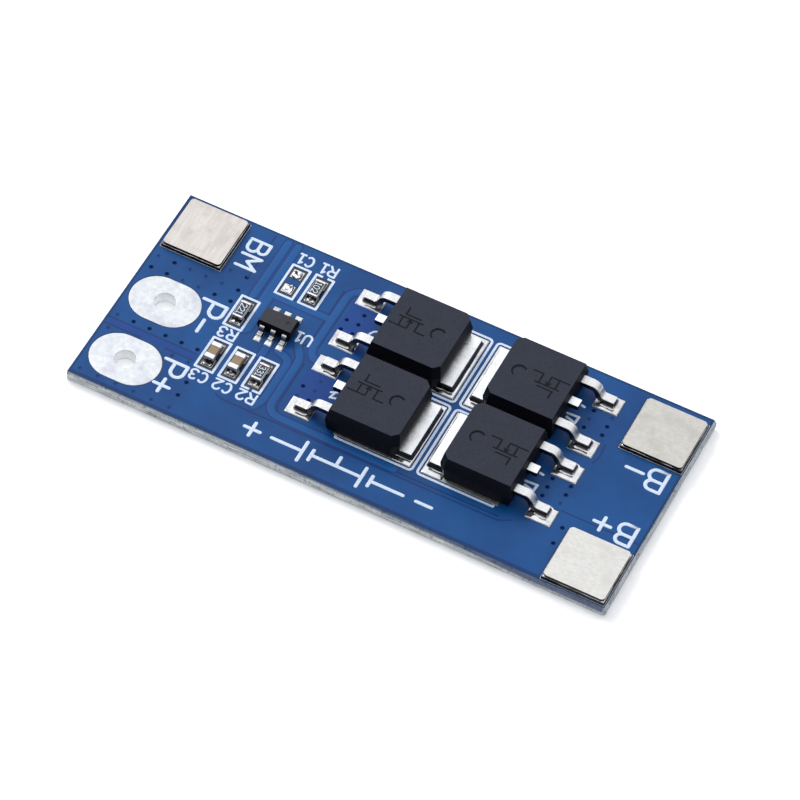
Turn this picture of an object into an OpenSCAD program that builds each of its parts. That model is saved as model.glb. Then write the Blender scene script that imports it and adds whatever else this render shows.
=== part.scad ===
// Battery management board for two cells in series: a bare blue circuit board that carries
// four power transistors, a six-pin protection chip, three resistors, two capacitors and
// three nickel tabs for the cell wiring, with two plated holes for the output wires.
// Millimetres. Origin at the centre of the underside. +X points to the cell tabs, +Y to the
// back edge and +Z out of the component side.

/* [Board] */
// Length of the board
board_length = 45.5; // [42:0.5:70]
// Width of the board
board_width = 20; // [19.5:0.5:30]
// Thickness of the board over its solder mask
board_thickness = 1; // [0.6:0.1:1.6]
// Thickness of the solder mask film
mask_thickness = 0.03; // [0.02:0.01:0.06]
// Bare rim that the scored right edge leaves outside the mask
score_right = 0.2; // [0.1:0.02:0.3]
// Bare rim that the scored front edge leaves outside the mask
score_front = 0.08; // [0.04:0.02:0.3]
// Depth of the scored groove from each face
score_depth = 0.28; // [0.2:0.02:0.4]
// Diameter of the plated through holes that join the two copper faces
via_bore = 0.3; // [0.2:0.05:0.4]

/* [Legend] */
// Thickness of the printed white legend
ink_thickness = 0.02; // [0.01:0.01:0.04]
// Width of a printed line
ink_line = 0.2; // [0.12:0.02:0.3]
// Bare distance from a transistor's main land to the printed bracket round it
ink_clearance = 0.13; // [0.08:0.01:0.2]

/* [Lands and solder] */
// Thickness of the tinned copper lands
land_thickness = 0.05; // [0.04:0.01:0.1]
// Bare distance from a land to the edge of its mask opening
mask_clearance = 0.05; // [0.03:0.01:0.1]
// Thickness of the solder between a land and what sits on it
solder_film = 0.08; // [0.04:0.01:0.12]
// Height that the solder climbs on a lead or tab
fillet_height = 0.25; // [0.15:0.05:0.35]

/* [Output terminals] */
// Length of an output terminal's oval land
terminal_length = 5.8; // [5:0.1:6.4]
// Width of an output terminal's oval land
terminal_width = 4.4; // [3.6:0.1:4.8]
// Bore of the plated hole in an output terminal
terminal_bore = 1.7; // [1:0.1:2.4]
// Wall of the plating in the terminal's hole
plating_wall = 0.05; // [0.03:0.01:0.1]
// Distance from the board's left edge to the terminals
terminal_edge = 0.43; // [0.3:0.05:0.8]

/* [Cell tabs] */
// Side of a square nickel tab
tab_side = 5; // [4:0.1:5.4]
// Thickness of a nickel tab
tab_thickness = 0.4; // [0.15:0.05:0.8]
// Corner radius of a nickel tab
tab_corner = 0.3; // [0.1:0.05:0.6]
// Width of the land's rim that shows round a nickel tab
tab_rim = 0.15; // [0.05:0.05:0.25]
// Distance from the board's left edge to the middle tab's land
tab_middle_side = 0.3; // [0.1:0.05:0.8]
// Distance from the board's back edge to the middle tab's land
tab_middle_back = 0.4; // [0.1:0.05:0.8]
// Distance from the board's right edge to the negative tab's land
tab_minus_side = 0.25; // [0.25:0.05:0.8]
// Distance from the board's back edge to the negative tab's land
tab_minus_back = 0.68; // [0.1:0.02:1.2]
// Distance from the board's right edge to the positive tab's land
tab_plus_side = 0.25; // [0.25:0.05:0.8]
// Distance from the board's front edge to the positive tab's land
tab_plus_front = 0.15; // [0.15:0.05:0.8]

/* [Power transistors] */
// Length of a transistor's moulded body, along its leads
fet_length = 6.1; // [5.6:0.1:6.6]
// Width of a transistor's moulded body
fet_width = 6.6; // [6.2:0.1:7]
// Height of a transistor from its seat to its top
fet_height = 2.3; // [2.1:0.1:2.6]
// How far the body's ends lean in from the parting line to the top
fet_draft = 0.2; // [0.05:0.05:0.4]
// How far the body's sides lean in from the parting line to the top
fet_side_draft = 0.26; // [0.05:0.01:0.4]
// Cut across the two body corners next to the drain tab
fet_chamfer = 0.5; // [0.3:0.1:1]
// Diameter of the round ejector mark in the body's top
ejector_bore = 1.3; // [0.8:0.1:1.5]
// Depth of the round ejector mark
ejector_depth = 0.05; // [0.02:0.01:0.1]
// Width of the drain tab
drain_width = 5.3; // [4.8:0.1:5.6]
// Thickness of the transistor's lead frame
frame_thickness = 0.5; // [0.4:0.05:0.6]
// How far the drain tab stands out of the body
drain_reach = 0.95; // [0.7:0.05:1.2]
// Width of a transistor lead
lead_width = 0.78; // [0.6:0.02:0.9]
// Distance between the two outer leads
lead_pitch = 4.57; // [4.4:0.01:4.8]
// Height of the leads' underside where they leave the body
lead_rise = 0.95; // [0.75:0.05:1.1]
// How far a lead reaches out of the body
lead_reach = 2.83; // [2.6:0.01:3]
// Length of a lead's flat foot
lead_foot = 0.85; // [0.7:0.05:1.1]
// How far the cropped middle lead stands out of the body
stub_reach = 0.8; // [0.5:0.05:1.1]
// Side of the silicon die inside a transistor
die_side = 2.6; // [2:0.1:3]
// Thickness of the silicon die
die_thickness = 0.25; // [0.15:0.05:0.35]
// Length of a transistor's main land
main_land_length = 6.5; // [6:0.1:6.8]
// Width of a transistor's main land
main_land_width = 6.45; // [6:0.05:6.6]
// Length of the land under a transistor lead
lead_land_length = 2.1; // [1.8:0.1:2.4]
// Width of the land under a transistor lead
lead_land_width = 1.65; // [1.4:0.05:1.8]
// Bare length of land beyond the end of the drain tab
drain_rim = 0.33; // [0.2:0.01:0.5]
// Bare length of land beyond the toe of a lead
toe_rim = 0.55; // [0.3:0.05:0.7]
// Distance between the main lands of facing transistors
facing_gap = 0.9; // [0.85:0.05:1.2]
// Distance between the main lands of the two rows
row_gap = 0.9; // [0.85:0.05:1.2]

/* [Protection chip] */
// Length of the protection chip's body
chip_length = 2.9; // [2.7:0.1:3.1]
// Width of the protection chip's body
chip_width = 1.6; // [1.5:0.1:1.8]
// Height of the protection chip over its body
chip_height = 1.05; // [0.9:0.05:1.3]
// Gap under the protection chip's body
chip_standoff = 0.08; // [0.04:0.02:0.12]
// Distance between neighbouring pins
pin_pitch = 0.95; // [0.9:0.01:1]
// Width of a pin
pin_width = 0.4; // [0.3:0.02:0.5]
// Thickness of a pin
pin_thickness = 0.15; // [0.1:0.01:0.18]
// How far a pin reaches out of the body
pin_reach = 0.62; // [0.55:0.01:0.8]
// Length of a pin's flat foot
pin_foot = 0.3; // [0.2:0.02:0.35]
// Length of a pin's land
pin_land_length = 1.05; // [0.9:0.05:1.2]
// Width of a pin's land
pin_land_width = 0.55; // [0.5:0.01:0.6]
// Length of land beyond the toe of a pin
pin_toe_rim = 0.45; // [0.2:0.05:0.5]

/* [Resistors and capacitors] */
// Length of a resistor or capacitor
small_length = 1.6; // [1.5:0.05:1.7]
// Width of a resistor or capacitor
small_width = 0.8; // [0.75:0.01:0.85]
// Height of a resistor
resistor_height = 0.45; // [0.35:0.05:0.6]
// Height of a capacitor
capacitor_height = 0.55; // [0.45:0.05:0.9]
// Length of a resistor's end cap
resistor_cap = 0.17; // [0.14:0.01:0.4]
// Length of a capacitor's end cap
capacitor_cap = 0.4; // [0.25:0.01:0.5]
// Thickness of an end cap's metal
cap_wall = 0.03; // [0.02:0.01:0.06]
// Length of the land under an end cap
small_land_length = 0.85; // [0.8:0.05:0.95]
// Width of the land under an end cap
small_land_width = 0.9; // [0.85:0.01:1]
// Length of land beyond the end of a resistor or capacitor
small_rim = 0.42; // [0.3:0.02:0.45]
// Inside length of the printed box round a resistor or capacitor
box_length = 2.95; // [2.9:0.05:3.1]
// Inside width of the printed box round a resistor or capacitor
box_width = 1.3; // [1.25:0.05:1.5]
// Distance between neighbouring printed boxes
box_gap = 0.33; // [0.2:0.01:0.5]
// Distance from the protection chip's lands to the printed boxes beside them
box_row_gap = 1.12; // [0.9:0.02:1.3]

/* [Layout] */
// Share of the spare width at the left edge in front of the positive terminal
front_share = 0.182; // [0.1:0.002:0.25]
// Share of that spare width between the two terminals
terminal_share = 0.364; // [0.3:0.002:0.4]
// Share of the board's spare length between the output terminals and the printed boxes
box_share = 0.343; // [0.2:0.001:0.45]
// Share of the board's spare length between the printed boxes and the transistors
fet_share = 0.41; // [0.2:0.01:0.45]
// Share of the board's spare width behind the transistors
back_share = 0.258; // [0.2:0.002:0.35]

/* [Hidden] */

$fn = 48;
cut = 1;                    // how far a cutting tool runs past the surface it cuts
sheet = 0.01;               // thickness of the slices that a solder collar is hulled from
solder_inset = 0.05;        // bare rim of land round the solder
solder_wrap = 0.04;         // solder's thickness round the edge of what it holds
bend_steps = 6;             // flats along each bend of a lead

left_edge = -board_length / 2;
right_edge = board_length / 2;
back_edge = board_width / 2;
front_edge = -board_width / 2;
laminate_top = board_thickness - mask_thickness;
land_top = laminate_top + land_thickness;
seat = land_top + solder_film;

// Nickel tabs
tab_land = tab_side + 2 * tab_rim;
tab_middle_at = [left_edge + tab_middle_side + tab_land / 2,
                 back_edge - tab_middle_back - tab_land / 2];
tab_minus_at = [right_edge - tab_minus_side - tab_land / 2,
                back_edge - tab_minus_back - tab_land / 2];
tab_plus_at = [right_edge - tab_plus_side - tab_land / 2,
               front_edge + tab_plus_front + tab_land / 2];
TABS = [tab_plus_at, tab_minus_at, tab_middle_at];

// Output terminals, one behind the other along the left edge
spare_left = board_width - tab_middle_back - tab_land - 2 * terminal_width;
terminal_x = left_edge + terminal_edge + terminal_length / 2;
plus_y = front_edge + front_share * spare_left + terminal_width / 2;
minus_y = plus_y + terminal_width + terminal_share * spare_left;
barrel_radius = terminal_bore / 2 + plating_wall;
barrel_sides = 40;

// Transistor footprint: leads towards -X, drain tab towards +X, body centred
main_land_end = fet_length / 2 + drain_reach + drain_rim;
lead_land_x = -(fet_length / 2 + lead_reach + toe_rim - lead_land_length / 2);
footprint = main_land_end - lead_land_x + lead_land_length / 2;
fet_x = main_land_end + facing_gap / 2;
fet_y = (main_land_width + row_gap) / 2;

// Printed boxes: outside size and distance between neighbouring columns
box_outer = [box_width + 2 * ink_line, box_length + 2 * ink_line];
column_pitch = box_outer.x + box_gap;

// What the board has left beside its groups is shared out between them
spare_length = board_length - terminal_edge - terminal_length - 3 * box_outer.x
    - 2 * box_gap - 2 * footprint - facing_gap - tab_land - tab_minus_side;
spare_width = board_width - 2 * main_land_width - row_gap;
box_edge = terminal_x + terminal_length / 2 + box_share * spare_length;
fet_edge = box_edge + 2 * column_pitch + box_outer.x + fet_share * spare_length;
tab_gap = (1 - box_share - fet_share) * spare_length;
// Line between facing transistors, and the row of parts through the protection chip
facing_x = fet_edge + footprint + facing_gap / 2;
row_y = back_edge - back_share * spare_width - main_land_width - row_gap / 2;

// Centre and turn of each transistor's lands, and how far its part drifted while soldered
FETS = [[[facing_x - fet_x, row_y + fet_y], 0, [-0.06, 0.05]],
        [[facing_x + fet_x, row_y + fet_y], 180, [0, 0.1]],
        [[facing_x - fet_x, row_y - fet_y], 0, [0.1, 0.1]],
        [[facing_x + fet_x, row_y - fet_y], 180, [-0.03, 0.25]]];
parting = lead_rise + frame_thickness / 2;
paddle_depth = 1.35;                    // body's front face to the drain paddle inside it
paddle_front = paddle_depth - fet_length / 2;
paddle_lap = 0.4;                       // overlap of the cropped lead's foot and the paddle
stub_foot = 0.5;                        // flat end of the cropped lead inside the body
collar_inset = 0.3;                     // bare land beside the solder along the drain tab
lead_bend = 0.3;                        // inside radius of a transistor lead's bends
lead_slope = 65;                        // steepest angle of a transistor lead
post_size = [0.55, 1.3];                // widened end of a lead inside the body
post_depth = 0.3;                       // body's front face to that widened end
die_x = 0.3;
ejector_at = [1.33, 0.08];
ejector_lean = 2.2;                     // how much wider than deep the mark's sloping rim is

// Small parts in their printed boxes
column_x = box_edge + box_outer.x / 2;
chip_offset = 0.12;         // chip's lands off the middle between two columns of boxes
chip_x = column_x + 1.5 * column_pitch + chip_offset;
pin_row_y = chip_width / 2 + pin_reach + pin_toe_rim - pin_land_length / 2;
row_offset = pin_row_y + pin_land_length / 2 + box_row_gap + box_outer.y / 2;
R1_AT = [column_x + 2 * column_pitch, row_y + row_offset];
R2_AT = [column_x + 2 * column_pitch, row_y - row_offset];
R3_AT = [column_x, row_y];
C1_AT = [column_x + column_pitch, row_y + row_offset];
C2_AT = [column_x + column_pitch, row_y - row_offset];
C3_AT = [column_x, row_y - row_offset];
SMALL_PARTS = [R1_AT, R2_AT, R3_AT, C2_AT, C3_AT];
small_land_y = small_length / 2 + small_rim - small_land_length / 2;
window_side = 0.03;         // strip of mask beside a window in its printed box
window_reach = 0.3;         // how much longer than its land a window is
small_window = [box_width - 2 * window_side, small_land_length + window_reach];
window_end = 0.05;          // strip of mask between a window's end and its printed box
break_width = [0.4, 0.25];  // ink left out of the printed boxes of the first two resistors
film_thickness = 0.03;      // glaze over a resistor's element
film_edge = 0.03;           // bare ceramic beside the glaze
resistor_climb = 0.7;       // share of a resistor's height that its solder climbs
capacitor_climb = 0.5;      // share of a capacitor's height that its solder climbs
mound_height = 0.18;        // solder on an unused land
mound_slope = 0.2;          // how far a mound's crown stands in from its edge

// Protection chip
chip_parting = (chip_standoff + chip_height) / 2;
chip_draft = 0.1;           // lean of the body's faces from the parting line
chip_die_size = [1.4, 0.7, 0.2];
chip_mark_bore = 0.45;      // dimple beside the first pin
chip_mark_edge = 0.6;       // body's end to the dimple's centre
pin_rise = chip_parting - pin_thickness / 2;
pin_embed = 0.35;           // length of a pin inside the body
pin_bend = 0.07;            // inside radius of a pin's bends
pin_slope = 78;             // steepest angle of a pin
pin_fillet = 0.12;          // height that the solder climbs on a pin

function arc_points(centre, radius, from, to, steps) =
    [for (i = [0:steps])
        let (angle = from + (to - from) * i / steps)
        centre + radius * [cos(angle), sin(angle)]];

// Side outline of a gull-wing lead: x runs outward from the body face and y is height
function gull_outline(embed, reach, rise, thick, foot, bend, slope) =
    let (middle = bend + thick / 2,
         straight = (rise - 2 * middle * (1 - cos(slope))) / sin(slope),
         heel_x = reach - foot,
         shoulder_x = heel_x - 2 * middle * sin(slope) - straight * cos(slope),
         heel = [heel_x, thick + bend],
         shoulder = [shoulder_x, rise - bend])
    concat([[-embed, rise + thick]],
           arc_points(shoulder, bend + thick, 90, 90 - slope, bend_steps),
           arc_points(heel, bend, 270 - slope, 270, bend_steps),
           [[reach, thick], [reach, 0]],
           arc_points(heel, bend + thick, 270, 270 - slope, bend_steps),
           arc_points(shoulder, bend, 90 - slope, 90, bend_steps),
           [[-embed, rise]]);

// Evenly spaced points
function run(start, step, count) = [for (i = [0:count - 1]) start + i * step];

// Plated holes between the two copper faces, in rows beside what they serve
via_inset = 0.75;           // board's edge to the centre of the holes along it
via_box_gap = 0.43;         // last hole of a row to the printed boxes
via_land_gap = 0.15;        // how near the holes between the terminals come to a land
via_front_share = 0.35;     // share of the gap between the terminals before their back row
via_tab_share = 0.28;       // share of the space beside the middle tab before its first hole
via_tab_step = 0.55;        // share of that space between its two holes
via_tab_rise = 0.2;         // that pair's shift off the pitch of the rows before it
via_edge_pitch = 1.54;      // along the front edge
via_turn_pitch = 1.375;     // up the board from the last hole of the front row
via_plus_share = 0.36;      // share of the gap beside the positive tab, tab to holes
via_plus_pitch = 1.6;
via_x = left_edge + via_inset;
via_pitch = (box_edge - via_box_gap - via_x) / 5;
tab_right = tab_middle_at.x + tab_land / 2;
via_tab_x = tab_right + via_tab_share * (box_edge - tab_right);
via_tab_pitch = via_tab_step * (box_edge - tab_right);
terminal_back = minus_y + terminal_width / 2;
via_back_pitch = (tab_middle_at.y - tab_land / 2 - terminal_back) / 2;
via_back_y = terminal_back + via_back_pitch / 4;
via_tab_y = via_back_y + 2 * via_back_pitch + via_tab_rise;
via_front_y = minus_y - terminal_width / 2 - via_front_share * terminal_share * spare_left;
via_gap_y = plus_y + terminal_width / 2 - via_land_gap;
via_edge_y = front_edge + via_inset;
BOARD_VIAS = concat(
    run([via_x, via_back_y], [via_pitch, 0], 6),
    run([via_x, via_back_y + via_back_pitch], [via_pitch, 0], 6),
    run([via_tab_x, via_tab_y], [via_tab_pitch, 0], 2),
    run([via_x, via_front_y], [via_pitch, 0], 6),
    [[via_x, via_gap_y]],
    run([via_tab_x, via_gap_y], [via_tab_pitch, 0], 2),
    run([via_x, via_edge_y], [via_edge_pitch, 0], 6),
    run([via_x + 5 * via_edge_pitch, via_edge_y + via_turn_pitch], [0, via_turn_pitch], 2),
    run([tab_plus_at.x - tab_land / 2 - via_plus_share * tab_gap, tab_plus_at.y + via_inset],
        [0, via_plus_pitch], 2));
// Plated holes between a transistor's lead lands, in its footprint's frame
fet_via_x = [lead_land_x - 0.85, lead_land_x + 0.15, lead_land_x + 0.7];
left_fet_y = -1.3;
left_fet_pitch = 1.02;
right_fet_y = -1.12;
right_fet_pitch = 0.91;
LEFT_FET_VIAS = concat(
    run([fet_via_x[0], left_fet_y], [0, left_fet_pitch], 2),
    run([fet_via_x[1], left_fet_y], [0, left_fet_pitch], 3));
RIGHT_FET_VIAS = concat(
    run([fet_via_x[0], right_fet_y], [0, right_fet_pitch], 3),
    run([fet_via_x[2], right_fet_y], [0, right_fet_pitch], 3));

module place(at) translate([at.x, at.y, 0]) children();

module at_fet_lands(i) translate(FETS[i][0]) rotate(FETS[i][1]) children();

module at_fet(i) translate([FETS[i][2].x, FETS[i][2].y, seat]) at_fet_lands(i) children();

// Prism of given height on a flat outline
module slab(z, height) translate([0, 0, z]) linear_extrude(height) children();

// Extrudes an outline drawn as side view (x, z) to a width centred on Y
module side_slab(width) rotate([90, 0, 0]) linear_extrude(width, center = true) children();

module rounded_rect(size, radius) {
    square([size.x, size.y - 2 * radius], center = true);
    square([size.x - 2 * radius, size.y], center = true);
    for (x = [-1, 1], y = [-1, 1])
        translate([x * (size.x / 2 - radius), y * (size.y / 2 - radius)])
            circle(radius);
}

module oval(length, width) {
    square([length - width, width], center = true);
    for (x = [-1, 1])
        translate([x * (length - width) / 2, 0])
            circle(width / 2);
}

// Printed line through a list of points, with round joints and ends
module ink_stroke(points) {
    for (point = points)
        translate(point)
            circle(ink_line / 2);
    for (i = [1:len(points) - 1]) {
        way = points[i] - points[i - 1];
        translate(points[i - 1])
            rotate(atan2(way.y, way.x))
                translate([0, -ink_line / 2])
                    square([norm(way), ink_line]);
    }
}

// ---------------------------------------------------------------- board

module via_outline() {
    for (at = BOARD_VIAS)
        translate(at)
            circle(via_bore / 2, $fn = 16);
    for (i = [0, 2], at = LEFT_FET_VIAS)
        at_fet_lands(i)
            translate(at)
                circle(via_bore / 2, $fn = 16);
    for (i = [1, 3], at = RIGHT_FET_VIAS)
        at_fet_lands(i)
            translate(at)
                circle(via_bore / 2, $fn = 16);
}

module fet_land_outline(grow = 0) {
    translate([main_land_end - main_land_length / 2, 0])
        square([main_land_length + 2 * grow, main_land_width + 2 * grow], center = true);
    for (y = [-1, 1])
        translate([lead_land_x, y * lead_pitch / 2])
            square([lead_land_length + 2 * grow, lead_land_width + 2 * grow], center = true);
}

module pin_land_outline(grow = 0) {
    for (column = [-1:1], side = [-1, 1])
        translate([column * pin_pitch, side * pin_row_y])
            square([pin_land_width + 2 * grow, pin_land_length + 2 * grow], center = true);
}

module small_land_outline() {
    for (side = [-1, 1])
        translate([0, side * small_land_y])
            square([small_land_width, small_land_length], center = true);
}

// Mask windows of a small part, larger than its lands
module small_window_outline() {
    for (side = [-1, 1])
        translate([0, side * ((box_length - small_window.y) / 2 - window_end)])
            square(small_window, center = true);
}

// Drilled hole that an output terminal's plating lines
module barrel_outline() {
    step = 360 / barrel_sides;
    polygon(arc_points([0, 0], barrel_radius, 0, 360 - step, barrel_sides - 1));
}

// Board outline with the scored front and right edges cut to a blunt V
module laminate_blank() {
    web = board_thickness - 2 * score_depth;
    intersection() {
        side_slab(board_width)
            polygon([[left_edge, 0], [right_edge - score_right, 0],
                [right_edge, score_depth], [right_edge, score_depth + web],
                [right_edge - score_right, board_thickness],
                [left_edge, board_thickness]]);
        rotate([90, 0, 90])
            linear_extrude(board_length, center = true)
                polygon([[back_edge, 0], [front_edge + score_front, 0],
                    [front_edge, score_depth], [front_edge, score_depth + web],
                    [front_edge + score_front, board_thickness],
                    [back_edge, board_thickness]]);
        slab(0, laminate_top)
            square([board_length, board_width], center = true);
    }
}

module laminate() {
    color("darkseagreen")
    difference() {
        laminate_blank();
        for (y = [plus_y, minus_y])
            place([terminal_x, y]) {
                slab(-cut, board_thickness + 2 * cut)
                    barrel_outline();
                slab(-cut, cut + land_thickness)
                    oval(terminal_length, terminal_width);
            }
        slab(-cut, board_thickness + 2 * cut)
            via_outline();
    }
}

module solder_mask() {
    color("royalblue")
    slab(laminate_top, mask_thickness)
        difference() {
            translate([left_edge, front_edge + score_front])
                square([board_length - score_right, board_width - score_front]);
            for (y = [plus_y, minus_y])
                translate([terminal_x, y])
                    oval(terminal_length + 2 * mask_clearance,
                         terminal_width + 2 * mask_clearance);
            for (at = TABS)
                translate(at)
                    square(tab_land + 2 * mask_clearance, center = true);
            for (i = [0:3])
                at_fet_lands(i)
                    fet_land_outline(mask_clearance);
            translate([chip_x, row_y])
                pin_land_outline(mask_clearance);
            for (at = concat(SMALL_PARTS, [C1_AT]))
                translate(at)
                    small_window_outline();
            via_outline();
        }
}

module box_outline() {
    difference() {
        rounded_rect(box_outer, ink_line / 2);
        square([box_width, box_length], center = true);
    }
}

// Gap in a printed box's end, at the side of the board that its designator is on
module box_breaks() {
    for (at = [[R1_AT, 1, break_width[0]], [R2_AT, -1, break_width[1]]])
        translate([at[0].x, at[0].y + at[1] * box_outer.y / 2])
            square([at[2], 3 * ink_line], center = true);
}

// Bracket round a transistor's main land, open towards its leads, with hooked ends
module bracket_outline() {
    reach_x = main_land_end + ink_clearance + ink_line / 2;
    reach_y = main_land_width / 2 + ink_clearance + ink_line / 2;
    corner = 0.3;
    hook_x = main_land_end - main_land_length + corner;
    ink_stroke(concat(
        [[hook_x, reach_y - corner], [hook_x, reach_y]],
        arc_points([reach_x - corner, reach_y - corner], corner, 90, 0, 4),
        arc_points([reach_x - corner, corner - reach_y], corner, 0, -90, 4),
        [[hook_x, -reach_y], [hook_x, corner - reach_y]]));
}

module legend_ink() {
    color("white")
    slab(board_thickness, ink_thickness) {
        difference() {
            for (at = concat(SMALL_PARTS, [C1_AT]))
                translate(at)
                    box_outline();
            box_breaks();
        }
        for (i = [0:3])
            at_fet_lands(i)
                difference() {
                    bracket_outline();
                    fet_land_outline(mask_clearance);
                }
    }
}

// Plated hole with an oval land on each face, one piece of tinned copper
module terminal(y) {
    color("gainsboro")
    place([terminal_x, y])
        difference() {
            union() {
                slab(0, land_thickness)
                    oval(terminal_length, terminal_width);
                slab(laminate_top, land_thickness)
                    oval(terminal_length, terminal_width);
                slab(0, land_top)
                    barrel_outline();
            }
            translate([0, 0, -cut])
                cylinder(h = land_top + 2 * cut, r = terminal_bore / 2);
        }
}

module copper_lands() {
    color("silver")
    slab(laminate_top, land_thickness) {
        for (at = TABS)
            translate(at)
                square(tab_land, center = true);
        for (i = [0:3])
            at_fet_lands(i)
                fet_land_outline();
        translate([chip_x, row_y])
            pin_land_outline();
        for (at = concat(SMALL_PARTS, [C1_AT]))
            translate(at)
                small_land_outline();
    }
}

// ---------------------------------------------------------------- nickel tabs

module nickel_tab(at) {
    color("lightgray")
    place(at)
        slab(seat, tab_thickness)
            rounded_rect([tab_side, tab_side], tab_corner);
}

module tab_solder() {
    color("darkgray")
    for (at = TABS)
        place(at)
            slab(land_top, solder_film)
                rounded_rect([tab_side + tab_rim, tab_side + tab_rim], tab_corner);
}

// ---------------------------------------------------------------- power transistors

// Body outline with the two corners beside the drain tab cut off
module fet_outline() {
    x = fet_length / 2;
    y = fet_width / 2;
    polygon([[-x, -y], [x - fet_chamfer, -y], [x, fet_chamfer - y], [x, y - fet_chamfer],
        [x - fet_chamfer, y], [-x, y]]);
}

module fet_block() {
    top_scale = [1 - 2 * fet_draft / fet_length, 1 - 2 * fet_side_draft / fet_width];
    lower_share = parting / (fet_height - parting) / 2;
    foot_scale = [1 - (1 - top_scale.x) * lower_share, 1 - (1 - top_scale.y) * lower_share];
    translate([0, 0, parting])
        linear_extrude(fet_height - parting, scale = top_scale, slices = 1)
            fet_outline();
    translate([0, 0, parting])
        mirror([0, 0, 1])
            linear_extrude(parting, scale = foot_scale, slices = 1)
                fet_outline();
}

// Drain paddle, its tab and the cropped middle lead, stamped from one sheet
module fet_drain() {
    tab_end = fet_length / 2 + drain_reach;
    slab(0, frame_thickness)
        translate([paddle_front, -drain_width / 2])
            square([tab_end - paddle_front, drain_width]);
    side_slab(lead_width)
        translate([-fet_length / 2, 0])
            polygon(gull_outline(stub_reach, fet_length / 2 + paddle_front + paddle_lap,
                lead_rise, frame_thickness, stub_foot, lead_bend, lead_slope));
}

module fet_lead(side) {
    translate([0, side * lead_pitch / 2, 0]) {
        translate([-fet_length / 2, 0, 0])
            mirror([1, 0, 0])
                side_slab(lead_width)
                    polygon(gull_outline(post_depth + post_size.x, lead_reach, lead_rise,
                        frame_thickness, lead_foot, lead_bend, lead_slope));
        slab(lead_rise, frame_thickness)
            translate([-fet_length / 2 + post_depth, -post_size.y / 2])
                square(post_size);
    }
}

module fet_die() {
    slab(frame_thickness, die_thickness)
        translate([die_x, 0])
            square(die_side, center = true);
}

// Shallow round mark with a sloping rim, sunk in the surface that it is placed on
module dimple(radius) {
    rim = ejector_lean * ejector_depth;
    translate([0, 0, -ejector_depth])
        cylinder(h = 2 * ejector_depth, r1 = radius - rim, r2 = radius + rim);
}

module q_body(i) {
    color("dimgray")
    at_fet(i)
        difference() {
            fet_block();
            fet_drain();
            fet_lead(-1);
            fet_lead(1);
            fet_die();
            translate([ejector_at.x, ejector_at.y, fet_height])
                dimple(ejector_bore / 2);
        }
}

module q_drain_tab(i) color("silver") at_fet(i) fet_drain();

module q_gate_lead(i) color("silver") at_fet(i) fet_lead(1);

module q_source_lead(i) color("silver") at_fet(i) fet_lead(-1);

module q_die(i) color("slategray") at_fet(i) fet_die();

// Sloping collar of solder from a land up to the edge of what sits on it
module fillet_collar(low, high, base, crown)
    hull() {
        translate([base[0].x, base[0].y, low])
            cube([base[1].x - base[0].x, base[1].y - base[0].y, sheet]);
        translate([crown[0].x, crown[0].y, high - sheet])
            cube([crown[1].x - crown[0].x, crown[1].y - crown[0].y, sheet]);
    }

module fet_solder(i) {
    drift = FETS[i][2] * cos(FETS[i][1]);
    body_end = fet_length / 2;
    tab_end = body_end + drain_reach;
    toe = -(fet_length / 2 + lead_reach);
    land_end = main_land_end - solder_inset - drift.x;
    tab_side_rim = (main_land_width - drain_width) / 2 - collar_inset;
    land_half = [lead_land_length / 2 - solder_inset, lead_land_width / 2 - solder_inset];
    at_fet(i)
        difference() {
            union() {
                slab(-solder_film, solder_film)
                    translate([paddle_front, -drain_width / 2])
                        square([tab_end - paddle_front, drain_width]);
                fillet_collar(-solder_film, fillet_height,
                    [[body_end, -drain_width / 2 - tab_side_rim],
                     [land_end, drain_width / 2 + tab_side_rim]],
                    [[body_end, -drain_width / 2 - solder_wrap],
                     [tab_end + solder_wrap, drain_width / 2 + solder_wrap]]);
                for (side = [-1, 1])
                    translate([0, side * lead_pitch / 2, 0])
                        fillet_collar(-solder_film, fillet_height,
                            [[lead_land_x - land_half.x - drift.x, -land_half.y - drift.y],
                             [lead_land_x + land_half.x - drift.x, land_half.y - drift.y]],
                            [[toe - solder_wrap, -lead_width / 2 - solder_wrap],
                             [toe + lead_foot, lead_width / 2 + solder_wrap]]);
            }
            fet_drain();
            fet_lead(-1);
            fet_lead(1);
            fet_block();
        }
}

module transistor_solder() {
    color("gainsboro")
    for (i = [0:3])
        fet_solder(i);
}

// ---------------------------------------------------------------- protection chip

module at_chip() translate([chip_x, row_y, seat]) children();

module chip_pins() {
    for (side = [0, 180], column = [-1:1])
        rotate(side)
            translate([column * pin_pitch, chip_width / 2, 0])
                rotate(90)
                    side_slab(pin_width)
                        polygon(gull_outline(pin_embed, pin_reach, pin_rise, pin_thickness,
                            pin_foot, pin_bend, pin_slope));
}

module chip_die() {
    slab(pin_rise, chip_die_size.z)
        square([chip_die_size.x, chip_die_size.y], center = true);
}

module u1_body() {
    half = (chip_height - chip_standoff) / 2;
    top_scale = [1 - 2 * chip_draft / chip_length, 1 - 2 * chip_draft / chip_width];
    color("dimgray")
    at_chip()
        difference() {
            translate([0, 0, chip_parting])
                for (down = [0, 1])
                    mirror([0, 0, down])
                        linear_extrude(half, scale = top_scale, slices = 1)
                            square([chip_length, chip_width], center = true);
            chip_pins();
            chip_die();
            translate([chip_length / 2 - chip_mark_edge, 0, chip_height])
                dimple(chip_mark_bore / 2);
        }
}

module u1_pins() color("silver") at_chip() chip_pins();

module u1_die() color("slategray") at_chip() chip_die();

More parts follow.
